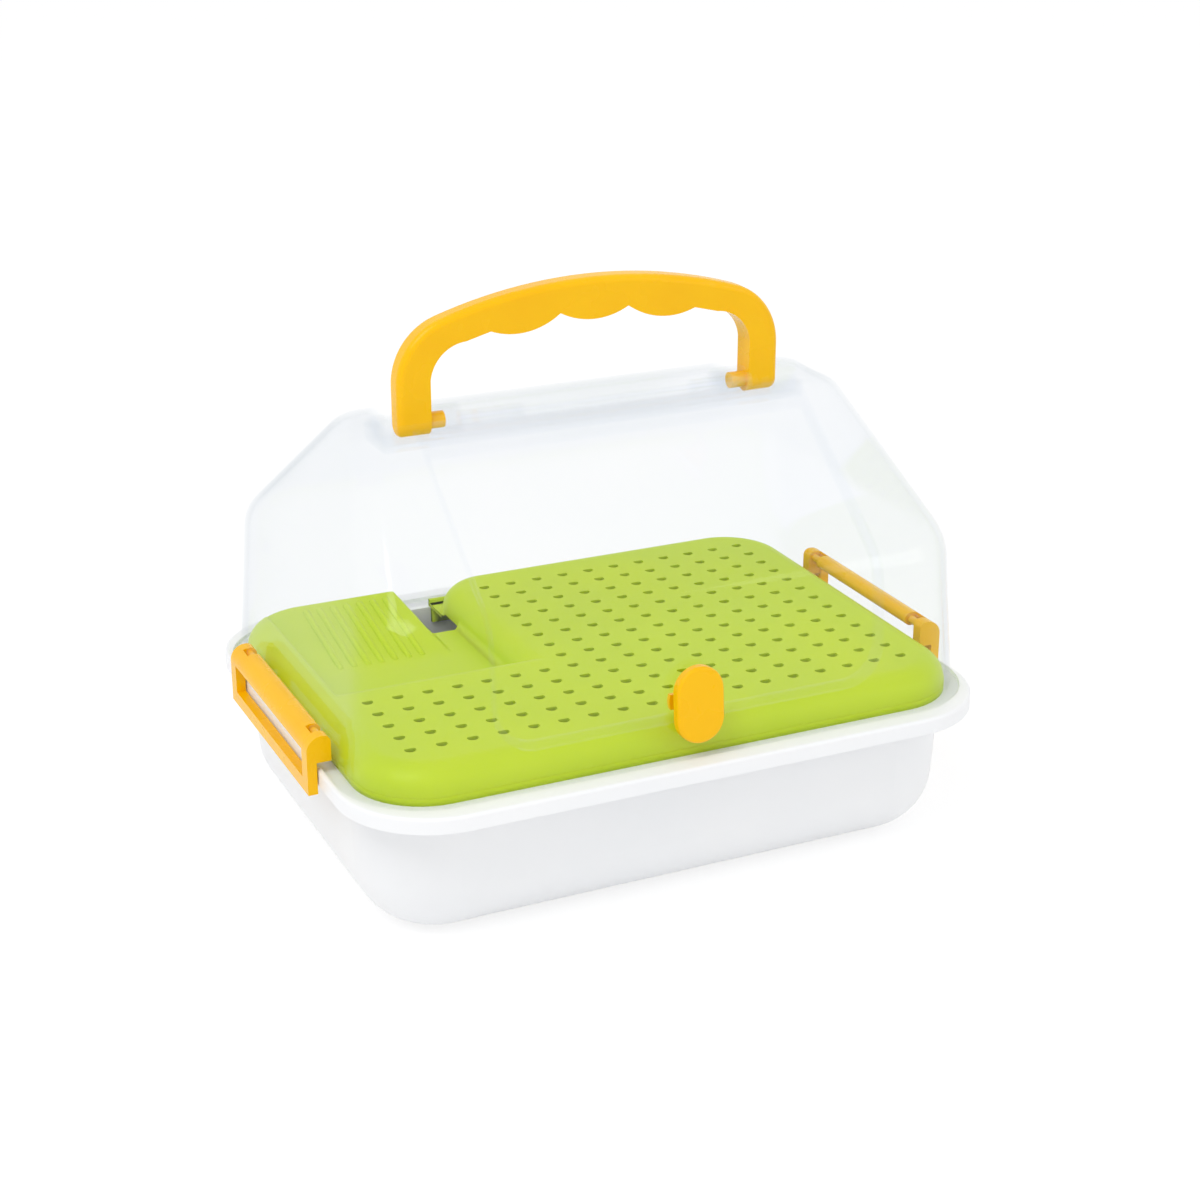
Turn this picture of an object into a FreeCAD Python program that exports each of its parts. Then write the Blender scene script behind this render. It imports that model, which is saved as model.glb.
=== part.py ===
import FreeCAD, Part
import math
import os

import Sketcher
from FreeCAD import Placement, Rotation, Vector

# Turtle tank: a white tub, a drained deck with a ramp, and a clear lid with a door, a handle and end clips.
# Millimetres. The origin is the middle of the tub's underside, +Z is up and the door faces -Y.

driving_sizes = {
    # Tub
    "rim_length": 252, "rim_width": 200, "rim_corner": 36, "rim_top": 59, "rim_plate": 3, "rim_round": 1.2,
    "skirt_drop": 6, "skirt_wall": 1.8,
    "mouth_side": 9, "mouth_front": 15, "mouth_corner": 30,
    "tub_wall": 2, "tub_floor": 2, "base_inset": 3, "base_round": 24,
    "seat_depth": 1.5, "seat_gap": 0.3,
    # Lid
    "lid_side": 4.7, "lid_front": 10.5, "lid_corner": 30, "lid_wall": 2,
    "shoulder_side": 4.8, "shoulder_front": 5, "shoulder_corner": 25, "shoulder_height": 118,
    "crown_side": 19.5, "crown_width": 41, "crown_corner": 16, "crown_height": 168,
    "shoulder_round": 18, "crown_round": 12,
    "flange_width": 2.8, "flange_thick": 1.8,
    # Handle channel in the lid's top
    "channel_end_gap": 6, "channel_width": 16, "channel_depth": 7, "channel_wall": 2, "fold_reach": 30,
    # Door
    "door_side": 20, "door_bottom": 73, "door_corner": 16, "door_wall": 1.8, "door_gap": 0.3,
    "door_overlap": 2.5, "door_back": 19.5, "opening_back": 27,
    "hinge_setback": 16, "knuckle_radius": 2.6, "rod_radius": 1.1, "rod_clearance": 0.05,
    "knuckle_length": 12, "ear_length": 6, "knuckle_inset": 31, "knuckle_gap": 0.5,
    # Knob and latch
    "knob_width": 18.5, "knob_height": 28.5, "knob_thick": 3.6, "knob_round": 1.2, "knob_level": 79,
    "shaft_radius": 2.5, "shaft_clearance": 0.06,
    "tongue_length": 17, "tongue_width": 5.6, "tongue_thick": 1.8, "tongue_gap": 0.4,
    "screw_radius": 0.9, "screw_head_radius": 1.9, "screw_head_thick": 1.2, "screw_depth": 5,
    "screw_clearance": 0.05,
    # Handle
    "handle_inset": 20, "leg_width": 12.5, "handle_depth": 9.5, "handle_rise": 47, "shoulder_bend": 25,
    "grip_bow": 195, "grip_edge": 2.5, "leg_inner_rise": 16, "inner_bend": 14, "inner_bow": 14.7,
    "bump_margin": 9.5, "bump_outer_drop": 15.5, "bump_inner_drop": 11.8, "bump_bow": 28,
    "foot_clearance": 0.3, "foot_flat": 0.04, "pin_radius": 3.1, "pin_length": 6, "pin_clearance": 0.06,
    "lug_length": 12, "lug_wall": 2.4, "fold_clearance": 0.8,
    # End clips
    "clip_length": 92, "clip_thick": 3.6, "clip_bottom": 50, "clip_gap": 0.5, "clip_bend": 5.8,
    "clip_pivot_height": 69.3, "clip_pivot_radius": 2.7, "clip_pivot_gap": 0.45,
    "window_length": 80, "window_bottom": 55, "window_top": 66,
    "clip_ear_width": 5.5, "clip_lug_width": 5, "clip_ear_gap": 0.4, "clip_lug_bottom": 62,
    "clip_pin_radius": 1.6, "clip_pin_clearance": 0.05,
    # Deck
    "deck_gap": 0.8, "deck_top": 70.5, "deck_round": 10, "deck_wall": 1.6, "deck_skirt_drop": 6,
    "deck_skirt_gap": 0.9,
    "recess_right": 34, "recess_front": 4, "recess_side": 11.5, "recess_slope": 11,
    "platform_corner": 20, "platform_end_corner": 14,
    "ramp_back": 8.7, "ramp_length": 42, "ramp_top": 67.5, "ramp_right": 52, "ramp_roll": 7,
    "rib_spacing": 5.6, "rib_radius": 1.2, "rib_proud": 0.8, "rib_margin": 4,
    "water_left": 46, "water_length": 32.7,
    "drain_radius": 2.2, "drain_flat": 0.9, "drain_side_margin": 19.5, "drain_back_margin": 21.3,
    "drain_front_margin": 9.6, "drain_recess_margin": 14, "drain_corner_reach": 10.9,
    # Reach of a cutting block past the whole object
    "cut_reach": 300,
}
rib_count = 7
bump_count = 3
drain_columns = 18
drain_rows = 14

doc = FreeCAD.newDocument("turtle_tank")
sheet = doc.addObject("Spreadsheet::Sheet", "Sizes")
for row, (alias, number) in enumerate(driving_sizes.items(), 1):
    sheet.set(f"A{row}", alias)
    sheet.set(f"B{row}", str(number))
    sheet.setAlias(f"B{row}", alias)
doc.recompute()


class Size:
    """A length known both as a number and as a formula on the sheet."""

    def __init__(self, text, value):
        self.text = text
        self.value = value

    def joined(self, sign, other, value):
        return Size(f"({self.text} {sign} {as_size(other).text})", value)

    def __add__(self, other):
        return self.joined("+", other, self.value + as_size(other).value)

    def __sub__(self, other):
        return self.joined("-", other, self.value - as_size(other).value)

    def __mul__(self, other):
        return self.joined("*", other, self.value * as_size(other).value)

    def __truediv__(self, other):
        return self.joined("/", other, self.value / as_size(other).value)

    def __neg__(self):
        return Size(f"(0 - {self.text})", -self.value)

    def root(self):
        return Size(f"sqrt({self.text})", math.sqrt(self.value))

    def arctangent(self):
        return Size(f"atan({self.text})", math.degrees(math.atan(self.value)))


def as_size(item):
    return item if isinstance(item, Size) else Size(f"({float(item)})", float(item))


class Sizes:
    """Each driving dimension as a Size, under its name on the sheet."""

    def __getattr__(self, alias):
        return Size(f"Sizes.{alias}", float(sheet.get(alias)))


size = Sizes()


# Drawing helpers


def plane_of(body, role):
    return next(item for item in body.Origin.OriginFeatures if item.Role == role)


def sketch_in(body, name, level):
    """An empty sketch of a body, parallel to its base plane at a height."""
    sketch = body.newObject("Sketcher::SketchObject", name)
    sketch.AttachmentSupport = [(plane_of(body, "XY_Plane"), "")]
    sketch.MapMode = "FlatFace"
    sketch.setExpression("AttachmentOffset.Base.z", as_size(level).text)
    return sketch


def free_sketch(name, rotation):
    sketch = doc.addObject("Sketcher::SketchObject", name)
    sketch.Placement = Placement(Vector(), rotation)
    return sketch


facing_front = Rotation(Vector(1, 0, 0), 90)  # sketch axes along X and Z
facing_end = Rotation(Vector(1, 1, 1), 120)  # sketch axes along Y and Z


def pin_down(sketch, geometry, point, x, y):
    """Holds one point of a sketch at sheet values."""
    for kind, value in (("DistanceX", x), ("DistanceY", y)):
        index = sketch.addConstraint(Sketcher.Constraint(kind, -1, 1, geometry, point, as_size(value).value))
        sketch.setExpression(f"Constraints[{index}]", as_size(value).text)


def hold_radius(sketch, geometry, radius):
    index = sketch.addConstraint(Sketcher.Constraint("Radius", geometry, radius.value))
    sketch.setExpression(f"Constraints[{index}]", radius.text)


def draw_rounded(sketch, corners):
    """A closed counterclockwise outline of level and upright lines, with a tangent arc at each (x, y, radius)
    corner. No corner turns inwards."""
    count = len(corners)
    spots = [Vector(as_size(x).value, as_size(y).value) for x, y, radius in corners]
    cuts = []
    for k, (x, y, radius) in enumerate(corners):
        back = (spots[k - 1] - spots[k]).normalize()
        ahead = (spots[(k + 1) % count] - spots[k]).normalize()
        start = spots[k] + back * radius.value
        end = spots[k] + ahead * radius.value
        centre = spots[k] + (back + ahead) * radius.value
        middle = centre + (spots[k] - centre).normalize() * radius.value
        cuts.append((start, middle, end))
    arcs = [sketch.addGeometry(Part.Arc(*cut)) for cut in cuts]
    gaps = [Part.LineSegment(cuts[k][2], cuts[(k + 1) % count][0]) for k in range(count)]
    lines = [sketch.addGeometry(gap) for gap in gaps]
    for k, (x, y, radius) in enumerate(corners):
        first, last = touching_ends(sketch, arcs[k], cuts[k][0])
        sketch.addConstraint(Sketcher.Constraint("Tangent", lines[k - 1], 2, arcs[k], first))
        sketch.addConstraint(Sketcher.Constraint("Tangent", arcs[k], last, lines[k], 1))
        hold_radius(sketch, arcs[k], radius)
        level = abs(spots[k].y - spots[(k + 1) % count].y) < abs(spots[k].x - spots[(k + 1) % count].x)
        sketch.addConstraint(Sketcher.Constraint("Horizontal" if level else "Vertical", lines[k]))
        kind, value = ("DistanceY", as_size(y)) if level else ("DistanceX", as_size(x))
        index = sketch.addConstraint(Sketcher.Constraint(kind, -1, 1, lines[k], 1, value.value))
        sketch.setExpression(f"Constraints[{index}]", value.text)


def touching_ends(sketch, arc, spot):
    """The arc's point numbers at a spot and away from it."""
    start, end = sketch.Geometry[arc].StartPoint, sketch.Geometry[arc].EndPoint
    return (1, 2) if start.distanceToPoint(spot) < end.distanceToPoint(spot) else (2, 1)


def rectangle(half_length, half_width, corner):
    return [(half_length, -half_width, corner), (half_length, half_width, corner),
            (-half_length, half_width, corner), (-half_length, -half_width, corner)]


def draw_profile(sketch, points, bows=None):
    """A closed outline through (x, y) points. bows gives the radius of the sides that are arcs, negative for
    a side that bulges to the left of its direction."""
    bows = bows or {}
    count = len(points)
    spots = [Vector(as_size(x).value, as_size(y).value) for x, y in points]
    sides = []
    for k in range(count):
        start, end = spots[k], spots[(k + 1) % count]
        if k not in bows:
            sides.append(sketch.addGeometry(Part.LineSegment(start, end)))
            continue
        radius = abs(bows[k].value)
        chord = end - start
        sag = radius - math.sqrt(radius ** 2 - (chord.Length / 2) ** 2)
        across = Vector(chord.y, -chord.x).normalize() * math.copysign(sag, bows[k].value)
        first, last = (start, end) if bows[k].value > 0 else (end, start)  # sketch arcs run counterclockwise
        sides.append(sketch.addGeometry(Part.Arc(first, (start + end) / 2 + across, last)))
    for k in range(count):
        following = (k + 1) % count
        ends = touching_ends(sketch, sides[k], spots[k]) if k in bows else (1, 2)
        start = touching_ends(sketch, sides[following], spots[following])[0] if following in bows else 1
        sketch.addConstraint(Sketcher.Constraint("Coincident", sides[k], ends[1], sides[following], start))
        pin_down(sketch, sides[k], ends[0], *points[k])
        if k in bows:
            hold_radius(sketch, sides[k], bows[k] if bows[k].value > 0 else -bows[k])


touching = 1e-4  # distance under which two places are the same


def at_level(level):
    def test(edge):
        box = edge.BoundBox
        return abs(box.ZMin - level.value) < touching and abs(box.ZMax - level.value) < touching
    return test


def round_edges(body, name, test, radius, whole_outline=True):
    """Rounds the edges of a body's last feature that pass a test. For a whole smooth outline its longest edge
    is enough, because the round runs on along it."""
    doc.recompute()
    base = body.Tip
    found = [(edge.Length, f"Edge{n}") for n, edge in enumerate(base.Shape.Edges, 1) if test(edge)]
    feature = body.newObject("PartDesign::Fillet", name)
    feature.Base = (base, [max(found)[1]] if whole_outline else [edge for length, edge in found])
    feature.setExpression("Radius", radius.text)
    doc.recompute()
    return feature


def pad(body, sketch, name, length):
    feature = body.newObject("PartDesign::Pad", name)
    feature.Profile = sketch
    feature.setExpression("Length", length.text)
    return feature


def loft(body, name, sketches):
    """A straight-sided form between sketches that are listed from the lowest up."""
    feature = body.newObject("PartDesign::AdditiveLoft", name)
    feature.Profile = sketches[-1]
    feature.Sections = sketches[-2::-1]
    feature.Ruled = True
    feature.Refine = True
    return feature


def block(name, x, y, z):
    """A box between low and high values along each axis."""
    item = doc.addObject("Part::Box", name)
    for side, axis, (low, high) in (("Length", "x", x), ("Width", "y", y), ("Height", "z", z)):
        low, high = as_size(low), as_size(high)
        item.setExpression(side, (high - low).text)
        item.setExpression(f"Placement.Base.{axis}", low.text)
    return item


along_x = Rotation(Vector(0, 1, 0), 90)
along_y = Rotation(Vector(-1, 0, 0), 90)


def rod(name, radius, length, start, rotation=Rotation()):
    """A cylinder from a start point along its rotated axis."""
    item = doc.addObject("Part::Cylinder", name)
    item.Placement = Placement(Vector(), rotation)
    item.setExpression("Radius", as_size(radius).text)
    item.setExpression("Height", as_size(length).text)
    for axis, value in zip("xyz", start):
        item.setExpression(f"Placement.Base.{axis}", as_size(value).text)
    return item


def extrusion(name, sketch, ahead, behind=None):
    item = doc.addObject("Part::Extrusion", name)
    item.Base = sketch
    item.DirMode = "Normal"
    item.Solid = True
    item.setExpression("LengthFwd", as_size(ahead).text)
    item.setExpression("LengthRev", as_size(0 if behind is None else behind).text)
    return item


def fuse(name, *shapes):
    item = doc.addObject("Part::MultiFuse", name)
    item.Shapes = list(shapes)
    return item


def common(name, *shapes):
    item = doc.addObject("Part::MultiCommon", name)
    item.Shapes = list(shapes)
    return item


def cut(name, base, tool):
    item = doc.addObject("Part::Cut", name)
    item.Base = base
    item.Tool = tool
    return item


# Places that several pieces share

seat = size.rim_top - size.seat_depth
half_rim = (size.rim_length / 2, size.rim_width / 2)
half_mouth = (half_rim[0] - size.mouth_side, half_rim[1] - size.mouth_front)
half_lid = (half_rim[0] - size.lid_side, half_rim[1] - size.lid_front)
half_shoulder = (half_lid[0] - size.shoulder_side, half_lid[1] - size.shoulder_front)
half_crown = (half_shoulder[0] - size.crown_side, size.crown_width / 2)
half_handle = half_crown[0] - size.handle_inset
half_door = half_crown[0] - size.door_side
half_deck = tuple(half - size.lid_wall - size.deck_gap for half in half_lid)
deck_corner = size.lid_corner - size.lid_wall - size.deck_gap
channel_floor = size.crown_height - size.channel_depth
pivot_height = channel_floor + size.foot_clearance + size.handle_depth / 2
hinge_height = size.crown_height + size.door_gap + size.knuckle_radius
front_draft = size.shoulder_front / (size.shoulder_height - seat)
end_draft = size.shoulder_side / (size.shoulder_height - seat)
clip_inner = half_rim[0] + size.clip_gap
clip_pivot = (half_lid[0] - (size.clip_pivot_height - size.clip_pivot_radius - seat) * end_draft
              + size.clip_pivot_gap + size.clip_pivot_radius)
ear_outer = size.clip_length / 2 - size.clip_lug_width - size.clip_ear_gap
ear_inner = ear_outer - size.clip_ear_width


def basin_form(name, floor, inset, rounding):
    """The tub's basin with its draft, inset from the mouth's outline, from a floor level up to the rim."""
    body = doc.addObject("PartDesign::Body", name)
    sketches = []
    for ring, level, draft in (("floor", floor, size.base_inset), ("mouth", size.rim_top, as_size(0))):
        sketches.append(sketch_in(body, f"{name}_{ring}", level))
        halves = [half - draft - inset for half in half_mouth]
        draw_rounded(sketches[-1], rectangle(*halves, size.mouth_corner - draft - inset))
    loft(body, f"{name}_loft", sketches)
    round_edges(body, f"{name}_round", at_level(floor), rounding)
    return body


def make_tub():
    """Basin with a draft, a turned-down rim and a stepped seat for the lid and the deck."""
    outer = basin_form("basin_outside", as_size(0), -size.tub_wall, size.base_round)
    inner = basin_form("basin_inside", size.tub_floor, as_size(0), size.base_round - size.tub_wall)

    rim = doc.addObject("PartDesign::Body", "rim")
    skirt = sketch_in(rim, "skirt_outline", size.rim_top - size.skirt_drop)
    draw_rounded(skirt, rectangle(*half_rim, size.rim_corner))
    inside = [half - size.skirt_wall for half in half_rim]
    draw_rounded(skirt, rectangle(*inside, size.rim_corner - size.skirt_wall))
    pad(rim, skirt, "skirt", size.skirt_drop)
    plate = sketch_in(rim, "rim_outline", size.rim_top - size.rim_plate)
    draw_rounded(plate, rectangle(*half_rim, size.rim_corner))
    pad(rim, plate, "rim_plate", size.rim_plate)
    round_edges(rim, "rim_edge", at_level(size.rim_top), size.rim_round)

    step = doc.addObject("PartDesign::Body", "seat_step")
    outline = sketch_in(step, "seat_outline", seat)
    reach = size.flange_width + size.seat_gap
    draw_rounded(outline, rectangle(*(half + reach for half in half_lid), size.lid_corner + reach))
    pad(step, outline, "seat_pad", size.seat_depth)
    return cut("tub", fuse("tub_solid", outer, rim), fuse("tub_hollow", inner, step))


def lid_form(name, grow):
    """The lid's outer form, grown by a distance: steep walls, a sloping roof and a narrow crown."""
    body = doc.addObject("PartDesign::Body", name)
    shoulder_level = size.shoulder_height + grow / 2
    crown_level = size.crown_height + grow
    rings = [("base", seat, half_lid, size.lid_corner, grow),
             ("shoulder", shoulder_level, half_shoulder, size.shoulder_corner, grow),
             ("crown", crown_level, half_crown, size.crown_corner, grow / 2)]
    sketches = []
    for ring, level, halves, corner, reach in rings:
        sketches.append(sketch_in(body, f"{name}_{ring}", level))
        draw_rounded(sketches[-1], rectangle(*(half + reach for half in halves), corner + reach))
    loft(body, f"{name}_loft", sketches)
    round_edges(body, f"{name}_shoulder_round", at_level(shoulder_level), size.shoulder_round + grow)
    round_edges(body, f"{name}_crown_round", at_level(crown_level), size.crown_round + grow)
    return body


def front_panel(name, inset, back):
    """Prism behind the door's outline, from in front of the lid to a distance before its middle."""
    sketch = free_sketch(f"{name}_outline", facing_front)
    half, corner = half_door - inset, size.door_corner - inset
    bottom = size.door_bottom + inset
    draw_rounded(sketch, [(half, bottom, corner), (half, size.cut_reach, corner),
                          (-half, size.cut_reach, corner), (-half, bottom, corner)])
    return extrusion(name, sketch, size.rim_width, -back)


def mirrored(name, item, normal=Vector(1, 0, 0)):
    other = doc.addObject("Part::Mirroring", name)
    other.Source = item
    other.Normal = normal
    return other


def hinge_ears(name, starts, length, radius):
    """Cylinders along the door's hinge axis at both sides of the middle."""
    return [rod(f"{name}_{n}", radius, length, (start, -size.hinge_setback, hinge_height), along_x)
            for n, start in enumerate(starts)]


knuckle_start = half_door - size.knuckle_inset - size.knuckle_length / 2
knuckle_starts = (knuckle_start, -knuckle_start - size.knuckle_length)
ear_shifts = (-size.ear_length - size.knuckle_gap, size.knuckle_length + size.knuckle_gap)
ear_starts = tuple(start + shift for start in knuckle_starts for shift in ear_shifts)
rod_start = -(knuckle_start + size.knuckle_length + size.knuckle_gap + size.ear_length)


def make_dome():
    """Clear lid: shell with a flange, a handle channel with fold slots and lugs, and ears for the pins."""
    outer = lid_form("lid_outside", as_size(0))
    shell = cut("lid_shell", outer, lid_form("lid_inside", -size.lid_wall))

    flange_body = doc.addObject("PartDesign::Body", "flange")
    flange = sketch_in(flange_body, "flange_outline", seat)
    reach = size.flange_width
    draw_rounded(flange, rectangle(*(half + reach for half in half_lid), size.lid_corner + reach))
    inner = [half - size.lid_wall for half in half_lid]
    draw_rounded(flange, rectangle(*inner, size.lid_corner - size.lid_wall))
    pad(flange_body, flange, "flange_ring", size.flange_thick)

    half_length, half_width = half_handle + size.channel_end_gap, size.channel_width / 2
    leg_outer = half_handle + size.fold_clearance
    leg_inner = half_handle - size.leg_width - size.fold_clearance
    walls, hollows = [], []
    for name, x, y in (("channel", (-half_length, half_length), (-half_width, half_width)),
                       ("fold_slot_right", (leg_inner, leg_outer), (0, size.fold_reach)),
                       ("fold_slot_left", (-leg_outer, -leg_inner), (0, size.fold_reach))):
        around = size.channel_wall
        x, y = [as_size(v) for v in x], [as_size(v) for v in y]
        walls.append(block(f"{name}_walls", (x[0] - around, x[1] + around), (y[0] - around, y[1] + around),
                           (channel_floor - around, size.crown_height)))
        hollows.append(block(f"{name}_hollow", x, y, (channel_floor, size.cut_reach)))
    sunk = common("channel_skin", fuse("channel_walls_all", *walls), outer)

    lug_end = half_handle - size.leg_width - size.foot_clearance
    lug_reach = size.pin_radius + size.lug_wall
    lugs, sockets = [], []
    for name, start, pin_start in (("right", lug_end - size.lug_length, lug_end - size.pin_length),
                                   ("left", -lug_end, -lug_end)):
        base = block(f"lug_base_{name}", (start, start + size.lug_length), (-lug_reach, lug_reach),
                     (channel_floor - size.channel_wall / 2, pivot_height))
        lugs += [base, rod(f"lug_{name}", lug_reach, size.lug_length, (start, 0, pivot_height), along_x)]
        sockets.append(rod(f"lug_socket_{name}", size.pin_radius + size.pin_clearance, size.pin_length,
                           (pin_start, 0, pivot_height), along_x))

    ears = hinge_ears("hinge_ear", ear_starts, size.ear_length, size.knuckle_radius)
    ear_y = (-size.hinge_setback - size.knuckle_radius, -size.hinge_setback + size.knuckle_radius)
    for n, start in enumerate(ear_starts):
        ears.append(block(f"hinge_ear_base_{n}", (start, start + size.ear_length), ear_y,
                          (size.crown_height - size.lid_wall / 2, hinge_height)))
    rod_hole = rod("hinge_rod_hole", size.rod_radius + size.rod_clearance / 2, -rod_start * 2,
                   (rod_start, -size.hinge_setback, hinge_height), along_x)

    clip_ears, clip_holes = [], []
    for n, start in enumerate((ear_inner, -ear_outer)):
        low = size.clip_pivot_height - size.clip_pivot_radius
        high = size.clip_pivot_height + size.clip_pivot_radius
        root = half_lid[0] - (high - seat) * end_draft - size.lid_wall / 2
        end = start + size.clip_ear_width
        arm = block(f"clip_ear_arm_{n}", (root, clip_pivot), (start, end), (low, high))
        eye = rod(f"clip_ear_eye_{n}", size.clip_pivot_radius, size.clip_ear_width,
                  (clip_pivot, start, size.clip_pivot_height), along_y)
        hole = rod(f"clip_ear_hole_{n}", size.clip_pin_radius + size.clip_pin_clearance, size.clip_ear_width,
                   (clip_pivot, start, size.clip_pivot_height), along_y)
        clip_ears += [arm, eye]
        clip_holes.append(hole)
    right_ears = cut("clip_ears_right", fuse("clip_ears_solid", *clip_ears),
                     fuse("clip_ear_holes", *clip_holes))
    left_ears = mirrored("clip_ears_left", right_ears)

    opening = front_panel("door_opening", size.door_overlap, size.opening_back)
    open_shell = cut("lid_open", fuse("lid_with_channel", shell, sunk), fuse("lid_cuts", opening, *hollows))
    whole = fuse("lid_whole", open_shell, flange_body, *lugs, *ears, right_ears, left_ears)
    return cut("dome", whole, fuse("lid_bores", rod_hole, *sockets))


def make_door():
    """Clear panel that lies on the lid's front and hangs from two knuckles at its top."""
    skin = cut("door_skin", lid_form("door_outside", size.door_gap + size.door_wall),
               lid_form("door_inside", size.door_gap))
    panel = common("door_panel", skin, front_panel("door_reach", as_size(0), size.door_back))
    knuckles = hinge_ears("door_knuckle", knuckle_starts, size.knuckle_length, size.knuckle_radius)
    arms = [block(f"door_arm_{n}", (start, start + size.knuckle_length),
                  (-size.door_back - size.door_wall, -size.hinge_setback),
                  (size.crown_height + size.door_gap, size.crown_height + size.door_gap + size.door_wall))
            for n, start in enumerate(knuckle_starts)]
    rod_hole = rod("door_rod_hole", size.rod_radius + size.rod_clearance, -rod_start * 2,
                   (rod_start, -size.hinge_setback, hinge_height), along_x)
    shaft_hole = rod("door_shaft_hole", size.shaft_radius + size.shaft_clearance, half_lid[1], (0, 0, 0))
    on_front_wall(shaft_hole, -half_lid[1] / 2)
    return cut("door", fuse("door_solid", panel, *knuckles, *arms), fuse("door_bores", rod_hole, shaft_hole))


def on_front_wall(item, outward):
    """Turns a piece drawn about +Z to stand on the lid's front wall at the knob, outward from the wall."""
    item.Placement = Placement(Vector(), Rotation(Vector(1, 0, 0), 90))
    tilt = front_draft.arctangent()
    item.setExpression("Placement.Rotation.Angle", f"90 deg - {tilt.text}")
    face = half_lid[1] - (size.knob_level - seat) * front_draft
    out = as_size(outward).text
    item.setExpression("Placement.Base.y", f"-{face.text} - {out} * cos({tilt.text})")
    item.setExpression("Placement.Base.z", f"{size.knob_level.text} + {out} * sin({tilt.text})")


def make_hinge_rod():
    return rod("door_hinge_rod", size.rod_radius, -rod_start * 2,
               (rod_start, -size.hinge_setback, hinge_height), along_x)


knob_back = size.door_gap * 2 + size.door_wall
tongue_face = -size.lid_wall - size.tongue_gap


def make_knob():
    """Stadium knob with a shaft through the door. Drawn about +Z, which points out of the door."""
    body = doc.addObject("PartDesign::Body", "knob_plate")
    sketch = sketch_in(body, "knob_outline", as_size(0))
    half_width, half_height = size.knob_width / 2, size.knob_height / 2
    straight = half_height - half_width
    draw_profile(sketch, [(half_width, -straight), (half_width, straight), (0, half_height),
                          (-half_width, straight), (-half_width, -straight), (0, -half_height)],
                 {1: half_width, 2: half_width, 4: half_width, 5: half_width})
    pad(body, sketch, "knob_pad", size.knob_thick)
    round_edges(body, "knob_edge", at_level(size.knob_thick), size.knob_round)
    shaft_length = knob_back - tongue_face
    shaft = rod("knob_shaft", size.shaft_radius, shaft_length, (0, 0, -shaft_length))
    pilot_radius = size.screw_radius + size.screw_clearance
    pilot = rod("knob_pilot", pilot_radius, size.screw_depth, (0, 0, -shaft_length))
    knob = cut("turn_knob", fuse("knob_solid", body, shaft), pilot)
    on_front_wall(knob, knob_back)
    return knob


def make_tongue():
    """Cam behind the door: level at rest, and down behind the lid's wall after a quarter turn."""
    half = size.tongue_length / 2
    plate = block("tongue_plate", (-half, half), (-size.tongue_width / 2, size.tongue_width / 2),
                  (-size.tongue_thick, 0))
    disc = rod("tongue_disc", half, size.tongue_thick, (0, 0, -size.tongue_thick))
    bore = rod("tongue_bore", size.screw_radius + size.screw_clearance, size.tongue_thick,
               (0, 0, -size.tongue_thick))
    tongue = cut("latch_tongue", common("tongue_round", plate, disc), bore)
    on_front_wall(tongue, tongue_face)
    return tongue


def make_screw():
    head = rod("screw_head", size.screw_head_radius, size.screw_head_thick,
               (0, 0, -size.tongue_thick - size.screw_head_thick))
    shank = rod("screw_shank", size.screw_radius, size.tongue_thick + size.screw_depth - size.screw_clearance,
                (0, 0, -size.tongue_thick))
    screw = fuse("knob_screw", head, shank)
    on_front_wall(screw, tongue_face)
    return screw


def make_handle():
    """Arched handle with three finger bumps under the grip, round feet and pins that point inwards."""
    half = half_handle
    inner = half - size.leg_width
    foot = pivot_height - size.handle_depth / 2
    top = pivot_height + size.handle_rise
    bend_centre = half - size.shoulder_bend
    between = size.grip_bow - size.shoulder_bend
    bend_drop = (between * between - bend_centre * bend_centre).root()
    bow_centre = top - size.grip_bow
    bend_level = bow_centre + bend_drop
    meet = (bend_centre * size.grip_bow / between, bow_centre + bend_drop * size.grip_bow / between)
    inner_start = pivot_height + size.leg_inner_rise
    corner = (inner - size.inner_bend, top - size.bump_outer_drop - size.grip_edge)
    outer_valley = (corner[0] - size.bump_margin, top - size.bump_outer_drop)
    inner_valley = (outer_valley[0] / bump_count, top - size.bump_inner_drop)

    def left(point):
        return (-point[0], point[1])

    points = [(half, foot), (half, bend_level), meet, left(meet), (-half, bend_level), (-half, foot),
              (-inner, foot), (-inner, inner_start), left(corner), left(outer_valley), left(inner_valley),
              inner_valley, outer_valley, corner, (inner, inner_start), (inner, foot)]
    bows = {1: size.shoulder_bend, 2: size.grip_bow, 3: size.shoulder_bend, 7: -size.inner_bow,
            9: size.bump_bow, 10: size.bump_bow, 11: size.bump_bow, 13: -size.inner_bow}

    body = doc.addObject("PartDesign::Body", "handle_body")
    sketch = body.newObject("Sketcher::SketchObject", "handle_outline")
    sketch.AttachmentSupport = [(plane_of(body, "XZ_Plane"), "")]
    sketch.MapMode = "FlatFace"
    draw_profile(sketch, points, bows)
    arch = pad(body, sketch, "handle_pad", size.handle_depth)
    arch.Midplane = True

    def under_foot(edge):
        return at_level(foot)(edge) and edge.BoundBox.XLength > edge.BoundBox.YLength

    def on_outside(edge):
        middle = edge.valueAt(sum(edge.ParameterRange) / 2)
        outside = abs(middle.x) > inner.value + touching or middle.z > (top - size.grip_edge).value
        return outside and edge.BoundBox.YLength < touching

    round_edges(body, "foot_round", under_foot, (size.handle_depth - size.foot_flat) / 2, False)
    round_edges(body, "grip_edge_round", on_outside, size.grip_edge, False)
    pins = [rod(f"handle_pin_{name}", size.pin_radius, size.pin_length, (start, 0, pivot_height), along_x)
            for name, start in (("right", inner - size.pin_length), ("left", -inner))]
    return fuse("handle", body, *pins)


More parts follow.
